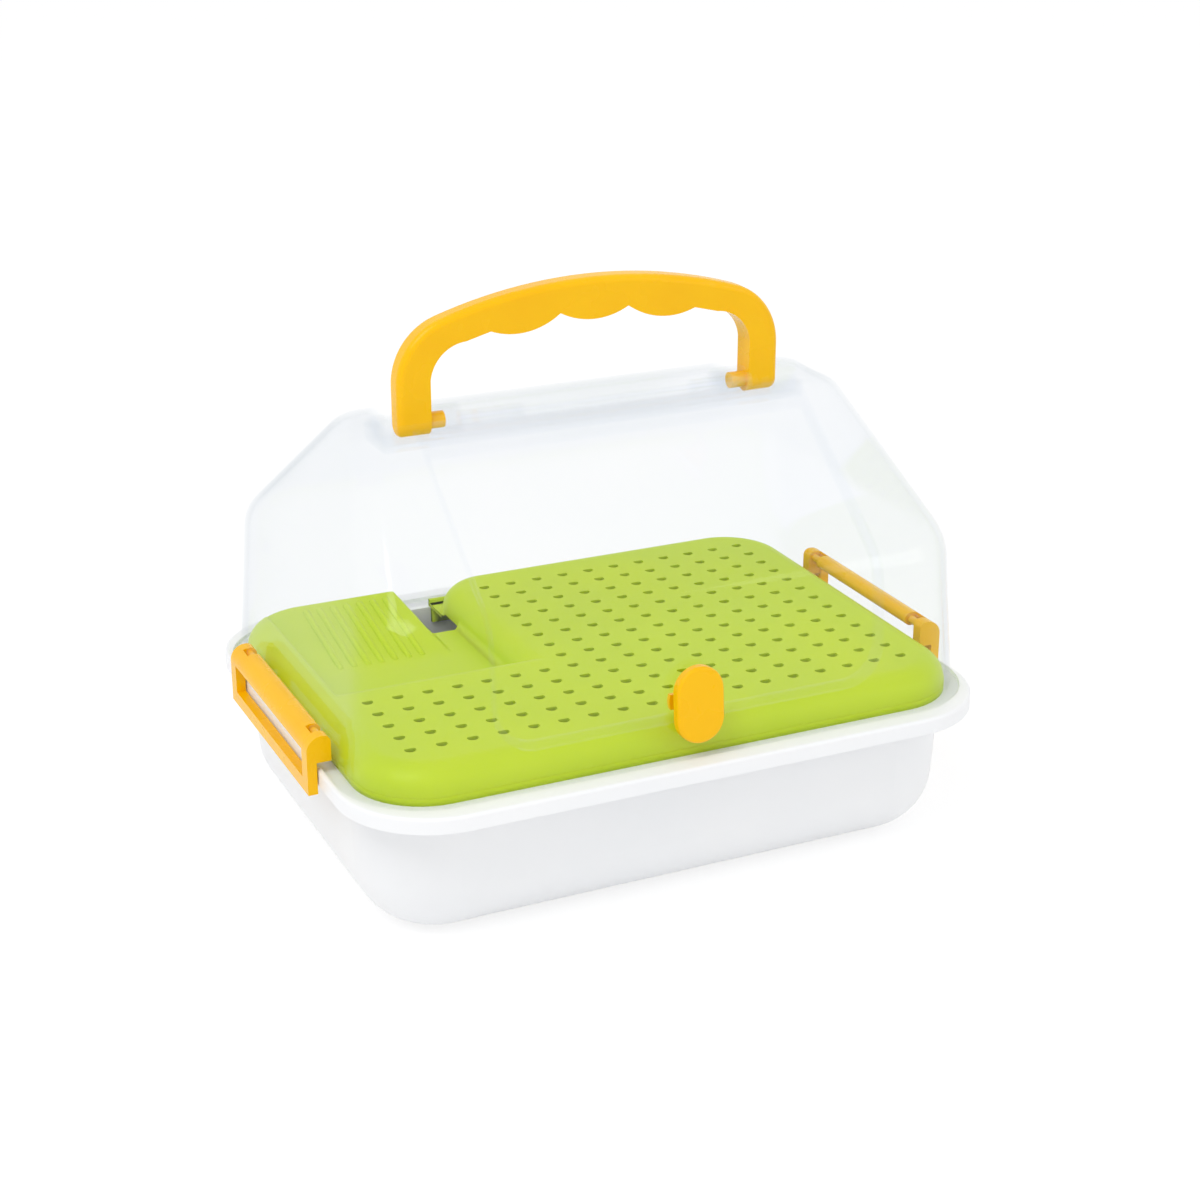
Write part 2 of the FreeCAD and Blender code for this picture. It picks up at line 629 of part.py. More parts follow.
def make_clips():
    """Window-frame clips that hang on pins in the lid's end ears, beside the rim."""
    outer = clip_inner + size.clip_thick
    top = size.clip_pivot_height + size.clip_pivot_radius
    under = size.clip_pivot_height - size.clip_pivot_radius
    sketch = free_sketch("clip_profile", facing_front)
    inward = clip_pivot - size.clip_pivot_radius
    draw_profile(sketch, [(clip_inner, size.clip_bottom), (outer, size.clip_bottom),
                          (outer, top - size.clip_bend), (outer - size.clip_bend, top), (clip_pivot, top),
                          (inward, size.clip_pivot_height), (clip_pivot, under), (clip_inner, under)],
                 {2: size.clip_bend, 4: size.clip_pivot_radius, 5: size.clip_pivot_radius})
    half = size.clip_length / 2
    bar = extrusion("clip_bar", sketch, half, half)
    window = block("clip_window", (clip_inner - size.clip_thick, outer + size.clip_thick),
                   (-size.window_length / 2, size.window_length / 2), (size.window_bottom, size.window_top))
    lugs, pins, notches = [], [], []
    pin_length = size.clip_ear_width + size.clip_ear_gap + size.clip_lug_width / 2
    lug_inner = half - size.clip_lug_width
    ends = ((lug_inner, ear_inner, ear_inner), (-half, -half + size.clip_lug_width / 2, -ear_outer))
    for n, (lug, pin, notch) in enumerate(ends):
        lugs.append(block(f"clip_lug_{n}", (inward, clip_inner),
                          (lug, lug + size.clip_lug_width), (size.clip_lug_bottom, size.clip_pivot_height)))
        pins.append(rod(f"clip_pin_{n}", size.clip_pin_radius, pin_length,
                        (clip_pivot, pin, size.clip_pivot_height), along_y))
        notches.append(block(f"clip_notch_{n}", (clip_pivot - size.clip_thick * 2, clip_inner),
                             (notch - size.clip_ear_gap, notch + size.clip_ear_width + size.clip_ear_gap),
                             (size.clip_bottom, top + size.clip_thick)))
    frame = cut("clip_frame", bar, fuse("clip_cuts", window, *notches))
    right = fuse("clip_right", frame, *lugs, *pins)
    return right, mirrored("clip_left", right)


def raised_form(name, corners, inset):
    """A padded outline from the seat to the deck's top, with a round shoulder."""
    body = doc.addObject("PartDesign::Body", name)
    sketch = sketch_in(body, f"{name}_outline", seat)
    draw_rounded(sketch, corners)
    top = size.deck_top - inset
    pad(body, sketch, f"{name}_pad", top - seat)
    round_edges(body, f"{name}_round", at_level(top), size.deck_round - inset)
    return body


def platform_form(name, inset):
    """The deck's drained platform: a front strip and a right side that leave the back left to the ramp."""
    half_length, half_width = (half - inset for half in half_deck)
    corner, end_corner = deck_corner - inset, size.platform_end_corner - inset
    left, front = -size.recess_right + inset, -size.recess_front - inset
    strip = [(size.recess_right, -half_width, end_corner), (size.recess_right, front, end_corner),
             (-half_length, front, end_corner), (-half_length, -half_width, corner)]
    side = [(half_length, -half_width, corner), (half_length, half_width, corner),
            (left, half_width, size.platform_corner - inset), (left, -half_width, end_corner)]
    return fuse(name, raised_form(f"{name}_front", strip, inset), raised_form(f"{name}_right", side, inset))


ramp_start = half_deck[1] - size.ramp_back - size.ramp_length


def ramp_basin(name, grow):
    """The space above the sunk corner: a floor, a ramp that climbs to the back and a slope at the left."""
    floor = seat + size.deck_wall - grow
    across = free_sketch(f"{name}_ramp", facing_end)
    slope = (size.ramp_top - seat - size.deck_wall) / size.ramp_length
    back = half_deck[1] + size.deck_round
    back_level = floor + (back - ramp_start) * slope
    draw_profile(across, [(-half_deck[1], floor), (ramp_start, floor), (back, back_level),
                          (back, size.crown_height), (-half_deck[1], size.crown_height)])
    along = free_sketch(f"{name}_slope", facing_front)
    low = -half_deck[0] + size.recess_side + size.recess_slope
    rise = size.deck_top - seat - size.deck_wall
    left = low - grow - size.recess_slope
    draw_profile(along, [(low - grow, floor), (0, floor), (0, size.crown_height), (left, size.crown_height),
                         (left, floor + rise)])
    return common(name, extrusion(f"{name}_ramp_space", across, 0, size.rim_length),
                  extrusion(f"{name}_slope_space", along, size.rim_width, size.rim_width))


def make_deck():
    """Lime insert: drained platform, sunk corner with a ribbed ramp, water opening and a locating skirt."""
    platform = platform_form("platform", as_size(0))
    platform_hollow = platform_form("platform_hollow", size.deck_wall)
    border = raised_form("border", rectangle(*half_deck, deck_corner), as_size(0))
    wall = size.deck_wall
    under_border = rectangle(*(half - wall for half in half_deck), deck_corner - wall)
    border_hollow = raised_form("border_hollow", under_border, wall)

    half_length, half_width = half_deck
    reach = size.platform_corner + size.deck_round
    quarter = block("sunk_quarter", (-half_length, -size.recess_right + reach),
                    (-size.recess_front - reach, half_width), (seat, size.deck_top))
    hollow_quarter = block("sunk_quarter_hollow", (-half_length, -size.recess_right - wall),
                           (-size.recess_front + wall, half_width), (seat, size.deck_top))
    roll = free_sketch("ramp_roll_profile", facing_front)
    floor = seat + wall
    draw_profile(roll, [(-size.ramp_right, size.deck_top), (-size.ramp_right + size.ramp_roll, floor),
                        (0, floor), (0, size.deck_top)])
    ramp_end = extrusion("ramp_end_space", roll, -ramp_start / 2, half_width + wall)
    sunk = cut("sunk_corner", common("sunk_border", border, quarter),
               fuse("basin_space", ramp_basin("basin", as_size(0)), ramp_end))

    slope = ((size.ramp_top - floor) / size.ramp_length).arctangent()
    ribs = []
    for n in range(rib_count):
        x = -size.ramp_right - size.rib_margin - size.rib_spacing * n
        rib = rod(f"ramp_rib_{n}", size.rib_radius, size.ramp_length,
                  (x, ramp_start, floor - size.rib_radius + size.rib_proud), along_y)
        rib.setExpression("Placement.Rotation.Angle", f"90 deg - {slope.text}")
        ribs.append(rib)

    sunk_ribbed = fuse("sunk_ribbed", sunk, *ribs)
    water = block("water_opening", (-size.water_left, -size.recess_right),
                  (half_width - size.water_length, half_width), (-size.cut_reach, size.deck_top))
    sunk_hollow = cut("sunk_hollow", common("sunk_hollow_border", border_hollow, hollow_quarter),
                      fuse("hollow_basin", ramp_basin("basin_under", wall),
                           extrusion("ramp_end_under", roll, -ramp_start / 2, half_width + wall)))

    ring = doc.addObject("PartDesign::Body", "deck_ring")
    inside = [half - size.deck_skirt_gap - wall for half in half_mouth]
    inside_corner = size.mouth_corner - size.deck_skirt_gap - wall
    ledge = sketch_in(ring, "ledge_outline", seat)
    draw_rounded(ledge, rectangle(*half_deck, deck_corner))
    draw_rounded(ledge, rectangle(*inside, inside_corner))
    pad(ring, ledge, "ledge", wall)
    skirt = sketch_in(ring, "deck_skirt_outline", seat - size.deck_skirt_drop)
    draw_rounded(skirt, rectangle(*(half + wall for half in inside), inside_corner + wall))
    draw_rounded(skirt, rectangle(*inside, inside_corner))
    pad(ring, skirt, "deck_skirt", size.deck_skirt_drop + wall)

    shell = cut("deck_shell", fuse("deck_solid", platform, sunk_ribbed),
                fuse("deck_hollows", platform_hollow, sunk_hollow))
    return cut("deck", fuse("deck_whole", shell, ring), fuse("deck_cuts", water, drain_holes()))


def drain_holes():
    """Half-moon drains through the platform, in rows and columns tied to the deck's size."""
    half_length, half_width = (half.value for half in half_deck)
    radius, flat = size.drain_radius.value, size.drain_flat.value
    chord = math.sqrt(radius ** 2 - flat ** 2)
    right, left, front = Vector(chord, flat), Vector(-chord, flat), Vector(0, -radius)
    outline = Part.Wire([Part.Arc(right, front, left).toShape(), Part.LineSegment(left, right).toShape()])
    wall = size.deck_wall.value
    overshoot = wall / 2
    prism = Part.Face(outline).extrude(Vector(0, 0, wall + 2 * overshoot))
    first_x = half_length - size.drain_side_margin.value
    first_y = half_width - size.drain_back_margin.value
    step_x = 2 * first_x / (drain_columns - 1)
    last_y = size.drain_front_margin.value - half_width
    step_y = (first_y - last_y) / (drain_rows - 1)
    corner_x, corner_y = half_length - deck_corner.value, half_width - deck_corner.value
    margin = size.drain_recess_margin.value
    level = size.deck_top.value - wall - overshoot
    prisms = []
    for row in range(drain_rows):
        for column in range(drain_columns):
            x, y = first_x - step_x * column, first_y - step_y * row
            on_platform = x > margin - size.recess_right.value or y < -size.recess_front.value - margin
            past_corner = math.hypot(max(0, abs(x) - corner_x), max(0, abs(y) - corner_y))
            if on_platform and past_corner < size.drain_corner_reach.value:
                prisms.append(prism.translated(Vector(x, y, level)))
    holes = doc.addObject("Part::Feature", "drain_holes")
    holes.Shape = Part.Compound(prisms)
    return holes


nodes = [make_tub(), make_dome(), make_door(), make_hinge_rod(), make_knob(), make_tongue(), make_screw(),
         make_handle(), *make_clips(), make_deck()]
doc.recompute()

for item in doc.Objects:
    bad = [state for state in item.State if state in ("Invalid", "Error")]
    if bad:
        raise RuntimeError(f"{item.Name}: {bad}")
for node in nodes:
    node.Label = node.Name
    if node.Shape.isNull() or not node.Shape.isValid():
        raise RuntimeError(f"{node.Label} has no valid shape")

os.makedirs("parts", exist_ok=True)
for node in nodes:
    node.Shape.exportStep(f"parts/{node.Label}.step")
    box = node.Shape.BoundBox
    print(f"{node.Label}: {len(node.Shape.Solids)} solid, {node.Shape.Volume:.0f} mm3,",
          f"x {box.XMin:.1f} {box.XMax:.1f} y {box.YMin:.1f} {box.YMax:.1f} z {box.ZMin:.1f} {box.ZMax:.1f}")
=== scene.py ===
import math

import bpy
import numpy as np
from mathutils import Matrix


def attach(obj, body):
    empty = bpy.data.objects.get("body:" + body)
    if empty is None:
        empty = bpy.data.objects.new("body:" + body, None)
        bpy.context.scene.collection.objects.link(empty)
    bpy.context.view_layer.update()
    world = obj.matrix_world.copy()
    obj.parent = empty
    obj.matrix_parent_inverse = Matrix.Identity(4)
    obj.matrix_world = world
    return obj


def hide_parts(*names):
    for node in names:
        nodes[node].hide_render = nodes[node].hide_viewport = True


# Turtle tank: white tub, lime deck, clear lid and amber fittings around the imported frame.
# Metres, +Z up, door at -Y. The deck made here is worked out in millimetres.
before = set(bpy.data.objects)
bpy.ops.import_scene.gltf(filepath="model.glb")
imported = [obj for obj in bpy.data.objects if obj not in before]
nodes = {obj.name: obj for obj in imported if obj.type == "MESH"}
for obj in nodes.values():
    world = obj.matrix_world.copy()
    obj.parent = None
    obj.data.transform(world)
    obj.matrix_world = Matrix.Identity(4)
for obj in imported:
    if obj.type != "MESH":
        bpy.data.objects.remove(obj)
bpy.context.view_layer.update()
mm = 0.001
tiny = 1e-9
print("frame loaded", sorted(nodes))


# Materials

pattern = {"cloudSpan": (0.3, 0.7), "cloudDetail": 3.0, "grainDetail": 2.0, "grainHeight": 0.1}


def linearColour(hexText):
    # sRGB hex to linear: c / 12.92 below 0.04045, else ((c + 0.055) / 1.055) ** 2.4
    c = np.array([int(hexText[i:i + 2], 16) / 255 for i in (1, 3, 5)])
    return (*np.where(c <= 0.04045, c / 12.92, ((c + 0.055) / 1.055) ** 2.4), 1.0)


def addNode(tree, kind, settings, links=None):
    # settings go to a node's own attribute or to an input socket
    # links map an input socket to an output socket
    node = tree.nodes.new(kind)
    for key, value in settings.items():
        if isinstance(key, str) and hasattr(node, key):
            setattr(node, key, value)
        else:
            node.inputs[key].default_value = value
    for key, source in (links or {}).items():
        tree.links.new(source, node.inputs[key])
    return node


def emptyTree(owner):
    # the cleared node tree of a material or a world
    owner.use_nodes = True
    owner.node_tree.nodes.clear()
    return owner.node_tree


def surfaceMaterial(name, look):
    # colour with a faint cloud, a gloss that wanders with it and a fine grain
    material = bpy.data.materials.new(name)
    tree = emptyTree(material)
    principled = addNode(tree, "ShaderNodeBsdfPrincipled", look["shader"])
    output = addNode(tree, "ShaderNodeOutputMaterial", {}, {"Surface": principled.outputs["BSDF"]})
    place = addNode(tree, "ShaderNodeTexCoord", {}).outputs["Object"]
    cloud = addNode(tree, "ShaderNodeTexNoise",
                    {"Scale": 1 / (look["cloudMm"] * mm), "Detail": pattern["cloudDetail"]},
                    {"Vector": place})
    low, high = pattern["cloudSpan"]
    colour = addNode(tree, "ShaderNodeValToRGB", {}, {"Fac": cloud.outputs["Fac"]})
    stops = colour.color_ramp.elements
    stops[0].position, stops[1].position = low, high
    stops[0].color, stops[1].color = linearColour(look["dark"]), linearColour(look["light"])
    tree.links.new(colour.outputs["Color"], principled.inputs["Base Color"])
    gloss = addNode(tree, "ShaderNodeMapRange",
                    {"From Min": low, "From Max": high,
                     "To Min": look["gloss"][0], "To Max": look["gloss"][1]},
                    {"Value": cloud.outputs["Fac"]})
    tree.links.new(gloss.outputs["Result"], principled.inputs["Roughness"])
    grain = addNode(tree, "ShaderNodeTexNoise",
                    {"Scale": 1 / (look["grainMm"] * mm), "Detail": pattern["grainDetail"]},
                    {"Vector": place})
    bump = addNode(tree, "ShaderNodeBump",
                   {"Strength": look["grainDepth"], "Distance": pattern["grainHeight"] * mm},
                   {"Height": grain.outputs["Fac"]})
    tree.links.new(bump.outputs["Normal"], principled.inputs["Normal"])
    if look.get("lampsPass"):
        # light on its way to other pieces goes straight through
        path = addNode(tree, "ShaderNodeLightPath", {})
        lit = addNode(tree, "ShaderNodeMath", {"operation": "MAXIMUM"},
                      {0: path.outputs["Is Shadow Ray"], 1: path.outputs["Is Diffuse Ray"]})
        through = addNode(tree, "ShaderNodeBsdfTransparent", {})
        both = addNode(tree, "ShaderNodeMixShader", {},
                       {0: lit.outputs[0], 1: principled.outputs["BSDF"], 2: through.outputs[0]})
        tree.links.new(both.outputs[0], output.inputs["Surface"])
    if "inside" in look:
        # where a look goes through more of the sheet, as at its edges, more light is lost
        body = addNode(tree, "ShaderNodeVolumeAbsorption",
                       {"Color": linearColour(look["inside"]), "Density": look["insideDensity"]})
        tree.links.new(body.outputs[0], output.inputs["Volume"])
    return material


# white polypropylene, injection moulded: chalky body with a soft sheen
# a little light bleeds through its thin walls
tubLook = {
    "dark": "#f4f6f9", "light": "#f9fafc", "cloudMm": 60,
    "gloss": (0.34, 0.42), "grainMm": 0.9, "grainDepth": 0.05,
    "shader": {"IOR": 1.49, "Subsurface Weight": 0.3, "Subsurface Scale": 3 * mm,
               "Subsurface Radius": (1, 1, 1)},
}
# lime polypropylene with a spark-eroded satin face: bright yellow green, warm where light goes through it
deckLook = {
    "dark": "#bfd81c", "light": "#c6dd25", "cloudMm": 45,
    "gloss": (0.36, 0.46), "grainMm": 0.8, "grainDepth": 0.06,
    "shader": {"IOR": 1.49, "Specular IOR Level": 0.2, "Subsurface Weight": 0.15,
               "Subsurface Scale": 2 * mm, "Subsurface Radius": (0.8, 1, 0.3)},
}
# amber ABS with polished tool faces: deep warm yellow, clean highlights
amberLook = {
    "dark": "#fbbd00", "light": "#fec402", "cloudMm": 25,
    "gloss": (0.22, 0.30), "grainMm": 0.7, "grainDepth": 0.03,
    "shader": {"IOR": 1.54, "Specular IOR Level": 0.2, "Subsurface Weight": 0.05,
               "Subsurface Scale": 2 * mm},
}
# clear polystyrene, polished mould: a sheet that hardly shows, with a faint sheen and soft grey edges
# Its IOR is 1 in place of the real 1.59, because the lid in the photo bends nothing that is seen
# through it, and the coat alone gives the gloss.
clearLook = {
    "dark": "#fcfdfe", "light": "#fefeff", "cloudMm": 80,
    "gloss": (0.02, 0.05), "grainMm": 8, "grainDepth": 0.02,
    "shader": {"IOR": 1.0, "Transmission Weight": 1.0, "Coat Weight": 0.35, "Coat Roughness": 0.06,
               "Coat IOR": 1.5},
    "inside": "#eceff1", "insideDensity": 55.0, "lampsPass": True,
}
# stainless steel of the screw: pale grey metal with a fine grain
steelLook = {
    "dark": "#c4c5c8", "light": "#d6d7d9", "cloudMm": 3,
    "gloss": (0.22, 0.36), "grainMm": 0.4, "grainDepth": 0.10,
    "shader": {"Metallic": 1.0},
}
whitePolypropylene = surfaceMaterial("whitePolypropylene", tubLook)
limePolypropylene = surfaceMaterial("limePolypropylene", deckLook)
amberAbs = surfaceMaterial("amberAbs", amberLook)
clearPolystyrene = surfaceMaterial("clearPolystyrene", clearLook)
stainlessSteel = surfaceMaterial("stainlessSteel", steelLook)

dressing = {
    "tub": whitePolypropylene, "deck": limePolypropylene, "dome": clearPolystyrene,
    "door": clearPolystyrene, "door_hinge_rod": clearPolystyrene, "turn_knob": amberAbs,
    "latch_tongue": amberAbs, "knob_screw": stainlessSteel, "handle": amberAbs,
    "clip_left": amberAbs, "clip_right": amberAbs,
}
for node, material in dressing.items():
    nodes[node].data.materials.clear()
    nodes[node].data.materials.append(material)
print("materials done")


# Surfaces

def newPiece(name, body, material, verts, faces, normals=None, replaced=()):
    # a smooth mesh piece from points in millimetres, with one normal for each face corner if given
    mesh = bpy.data.meshes.new(name)
    mesh.from_pydata((np.asarray(verts) * mm).tolist(), [], np.asarray(faces).tolist())
    mesh.polygons.foreach_set("use_smooth", np.ones(len(mesh.polygons), bool))
    if normals is not None:
        mesh.normals_split_custom_set(np.asarray(normals).reshape(-1, 3).tolist())
    mesh.materials.append(material)
    piece = bpy.data.objects.new(name, mesh)
    bpy.context.scene.collection.objects.link(piece)
    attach(piece, body)
    if replaced:
        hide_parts(*replaced)


def gridFaces(rows, columns, closeRows=False, closeColumns=False):
    # quads of a rows x columns grid, numbered row by row, wrapped round where a direction is closed
    r = np.arange(rows if closeRows else rows - 1)[:, None]
    c = np.arange(columns if closeColumns else columns - 1)[None, :]
    a, b = r * columns + c, r * columns + (c + 1) % columns
    up = ((r + 1) % rows - r) * columns
    return np.stack([a, b, b + up, a + up], axis=-1).reshape(-1, 4)


def insideDistance(x, y, low, high, radii):
    # distance inwards from a rectangle with round corners
    # radii: left front, right front, right back, left back
    cx, cy = (low[0] + high[0]) / 2, (low[1] + high[1]) / 2
    px, py = x - cx, y - cy
    r = np.where(py < 0, np.where(px < 0, radii[0], radii[1]), np.where(px < 0, radii[3], radii[2]))
    qx, qy = np.abs(px) - (high[0] - cx) + r, np.abs(py) - (high[1] - cy) + r
    return r - np.minimum(np.maximum(qx, qy), 0) - np.hypot(np.maximum(qx, 0), np.maximum(qy, 0))


def ringRow(halfX, halfY, radius, cornerSteps, sideSteps):
    # one turn round a rectangle with round corners: arcs and straight sides, counterclockwise from +X
    turn = np.linspace(0, math.pi / 2, cornerSteps + 1)
    quarter = np.arange(4)[:, None] * math.pi / 2
    arcX, arcY = radius * np.cos(turn + quarter), radius * np.sin(turn + quarter)
    signX, signY = np.array([1, -1, -1, 1])[:, None], np.array([1, 1, -1, -1])[:, None]
    arc = np.stack([signX * (halfX - radius) + arcX, signY * (halfY - radius) + arcY], axis=-1)
    t = np.arange(1, sideSteps)[None, :, None] / sideSteps
    side = arc[:, -1:, :] * (1 - t) + np.roll(arc, -1, axis=0)[:, :1, :] * t
    return np.concatenate([arc, side], axis=1).reshape(-1, 2)


def slopes(height, x, y, step):
    # central differences of a function of (x, y)
    alongX = (height(x + step, y) - height(x - step, y)) / (2 * step)
    alongY = (height(x, y + step) - height(x, y - step)) / (2 * step)
    return alongX, alongY


def softMin(a, b, reach):
    # the smaller of two heights, blended within reach of where they cross
    k = np.clip(0.5 + 0.5 * (b - a) / reach, 0, 1)
    return b + (a - b) * k - reach * k * (1 - k)


# Deck: a height over (x, y) with half-moon drains, a sunk corner, a ramp and a water opening

deck = {
    "half": (118.5, 86.7), "corner": 27.2, "seat": 57.5, "top": 70.5, "round": 10.0, "wall": 1.6,
    "edgeFall": 8.0, "edgeReach": 0.6,
    "recess": (-34.0, -4.0), "endCorner": 14.0, "platformCorner": 20.0,
    "slopeLeft": -107.0, "slopeRun": 11.0, "slopeGain": 2.0, "slopeSoften": 0.1,
    "rampStart": 36.0, "rampRise": 0.2, "rollTop": -52.0, "rollRun": 7.0, "soften": 1.2,
    "water": (-46.0, -34.0, 54.0), "waterSnap": 0.75, "waterMargin": 1.0,
    "drainRadius": 2.2, "drainFlat": 0.9, "drainFirst": (99.0, 65.4), "drainLast": -77.1,
    "drainCount": (18, 14), "drainSquare": 1.8, "drainMargin": 14.0, "drainReach": 10.9,
    "drainFade": 0.45, "drainInside": 0.99,
    "gridBetween": (0.255, 0.37), "gridStep": 0.9, "gridInside": 0.05,
    "outlineStep": 0.01, "normalStep": 0.35,
    "ribFirst": -56.0, "ribStep": 5.6, "ribCount": 7, "ribRadius": 1.5, "ribProud": 1.15,
    "ribLength": 42.0, "ribSteps": (11, 5),
    "skirtHalf": (116.1, 84.1), "skirtCorner": 29.1, "skirtWall": 1.6, "skirtLow": 51.5,
    "skirtSteps": (12, 90), "skirtSnap": 1.2,
}


def outlineDistance(x, y):
    # distance inwards from the deck's outline
    halfX, halfY = deck["half"]
    return insideDistance(x, y, (-halfX, -halfY), (halfX, halfY), (deck["corner"],) * 4)


def deckShoulder(inside):
    # top - R + sqrt(R^2 - (R - d)^2) at d inside an edge, and steeply down outside it
    radius = deck["round"]
    fall = radius - np.clip(inside, 0, radius)
    height = deck["top"] - radius + np.sqrt(np.maximum(radius ** 2 - fall ** 2, 0))
    below = deck["edgeFall"] * np.maximum(inside, -deck["edgeReach"])
    return np.where(inside >= 0, height, height + below)


def deckHeight(x, y):
    # platform: the higher shoulder of its front strip and its right side
    # sunk corner: the highest of floor, end slope and ramp, kept under the outline's shoulder
    d = deck
    halfX, halfY = d["half"]
    recessX, recessY = d["recess"]
    corner, endCorner = d["corner"], d["endCorner"]
    strip = insideDistance(x, y, (-halfX, -halfY), (-recessX, recessY),
                           (corner, endCorner, endCorner, endCorner))
    side = insideDistance(x, y, (recessX, -halfY), (halfX, halfY),
                          (endCorner, corner, corner, d["platformCorner"]))
    platform = np.where(np.maximum(strip, side) > -d["edgeReach"],
                        np.maximum(deckShoulder(strip), deckShoulder(side)), 0)
    floor, top = d["seat"] + d["wall"], d["top"]
    slope = floor + (d["slopeLeft"] + d["slopeRun"] - x) * (top - floor) / d["slopeRun"]
    slope = softMin(slope, top + d["slopeGain"] * (slope - top), d["slopeSoften"])
    ramp = floor + (y - d["rampStart"]) * d["rampRise"]
    roll = top + (d["rollTop"] - x) * (top - floor) / d["rollRun"]
    ramp = np.where(y > d["rampStart"] / 2, softMin(ramp, roll, d["soften"]), ramp)
    basin = -softMin(-slope, -ramp, d["soften"])
    basin = -softMin(-basin, -floor, d["soften"])
    sunk = softMin(deckShoulder(outlineDistance(x, y)), basin, d["soften"])
    return np.maximum(platform, sunk)


def gridLines(first, number, pitch, half):
    # grid lines of one direction: ten to a drain's pitch, then about a grid step apart out to the edge
    square, gap = deck["drainSquare"], deck["gridStep"]
    near = np.array([-square, -square / 2, 0, square / 2, square])
    between = np.array(deck["gridBetween"]) * pitch
    offsets = np.concatenate([-between[::-1], near, between, [pitch / 2]])
    inner = (first + np.arange(number)[:, None] * pitch + offsets).ravel()
    low = np.linspace(-half, inner[0], max(2, int((inner[0] + half) / gap)) + 1)[:-1]
    high = np.linspace(inner[-1], half, max(2, int((half - inner[-1]) / gap)) + 1)[1:]
    return np.concatenate([low, inner, high])


def drainedGrid():
    # grid points drawn onto the drains and the water opening, and which of them lie inside a drain
    d = deck
    count, first, last = d["drainCount"], d["drainFirst"], d["drainLast"]
    step = (2 * first[0] / (count[0] - 1), (first[1] - last) / (count[1] - 1))
    x, y = np.meshgrid(gridLines(-first[0], count[0], step[0], d["half"][0]),
                       gridLines(last, count[1], step[1], d["half"][1]))
    column = np.clip(np.round((x + first[0]) / step[0]), 0, count[0] - 1)
    row = np.clip(np.round((y - last) / step[1]), 0, count[1] - 1)
    cx, cy = column * step[0] - first[0], row * step[1] + last
    past = np.hypot(np.maximum(np.abs(cx) - d["half"][0] + d["corner"], 0),
                    np.maximum(np.abs(cy) - d["half"][1] + d["corner"], 0))
    drained = (cx > d["recess"][0] + d["drainMargin"]) | (cy < d["recess"][1] - d["drainMargin"])
    drained &= past < d["drainReach"]
    # a drain's square ring of points is drawn out to the half moon: circle in front, chord at the back
    ox, oy = x - cx, y - cy
    ring = np.maximum(np.abs(ox), np.abs(oy))
    length = np.maximum(np.hypot(ox, oy), tiny)
    chord = np.minimum(d["drainRadius"], d["drainFlat"] * length / np.maximum(oy, tiny))
    moon = np.where(oy > 0, chord, d["drainRadius"])
    square = d["drainSquare"] * length / np.maximum(ring, tiny)
    reach = d["drainFade"] * min(step) - d["drainSquare"]
    fade = np.clip(1 - (ring - d["drainSquare"]) / reach, 0, 1)
    pull = np.where(drained, 1 + (moon / square - 1) * fade, 1)
    x, y = cx + ox * pull, cy + oy * pull
    hole = drained & (ring < d["drainSquare"] * d["drainInside"])
    # points beside the water opening move onto its edges
    left, right, front = d["water"]
    snap, margin = d["waterSnap"], d["waterMargin"]
    for edge in (left, right):
        x = np.where((np.abs(x - edge) < snap) & (y > front - margin), edge, x)
    beside = (x > left - margin) & (x < right + margin)
    y = np.where((np.abs(y - front) < snap) & beside, front, y)
    return x, y, hole


def deckPan():
    # upper sheet z = deckHeight(x, y), lower sheet one wall below it along the normal
    d = deck
    x, y, hole = drainedGrid()
    faces = gridFaces(*x.shape)
    x, y, hole = x.ravel(), y.ravel(), hole.ravel()
    inside = outlineDistance(x, y)
    left, right, front = d["water"]
    centreX, centreY = x[faces].mean(axis=1), y[faces].mean(axis=1)
    water = (centreX > left) & (centreX < right) & (centreY > front)
    faces = faces[(inside[faces] > d["gridInside"]).any(axis=1) & ~hole[faces].any(axis=1) & ~water]
    # points outside the outline are moved onto it, along the distance's own slope
    slopeX, slopeY = slopes(outlineDistance, x, y, d["outlineStep"])
    outside = np.minimum(inside, 0)
    x, y = x - outside * slopeX, y - outside * slopeY
    used, faces = np.unique(faces, return_inverse=True)
    faces = faces.reshape(-1, 4)
    x, y = x[used], y[used]
    slopeX, slopeY = slopes(deckHeight, x, y, d["normalStep"])
    normal = np.stack([-slopeX, -slopeY, np.ones_like(x)], axis=1)
    normal /= np.linalg.norm(normal, axis=1, keepdims=True)
    top = np.stack([x, y, deckHeight(x, y)], axis=1)
    verts = np.concatenate([top, top - d["wall"] * normal])
    # walls join both sheets along every edge that only one face has
    edges = np.stack([faces, np.roll(faces, -1, axis=1)], axis=-1).reshape(-1, 2)
    _, index, times = np.unique(np.sort(edges, axis=1), axis=0, return_index=True, return_counts=True)
    rim = edges[index[times == 1]]
    n = len(x)
    walls = np.stack([rim[:, 1], rim[:, 0], rim[:, 0] + n, rim[:, 1] + n], axis=1)
    across, down = verts[walls[:, 1]] - verts[walls[:, 0]], verts[walls[:, 3]] - verts[walls[:, 0]]
    wallNormal = np.cross(across, down)
    wallNormal /= np.maximum(np.linalg.norm(wallNormal, axis=1, keepdims=True), tiny)
    under = faces[:, ::-1]
    allFaces = np.concatenate([faces, under + n, walls])
    normals = np.concatenate([normal[faces], -normal[under], np.repeat(wallNormal[:, None], 4, axis=1)])
    newPiece("deckPan", "deck", limePolypropylene, verts, allFaces, normals, ["deck"])


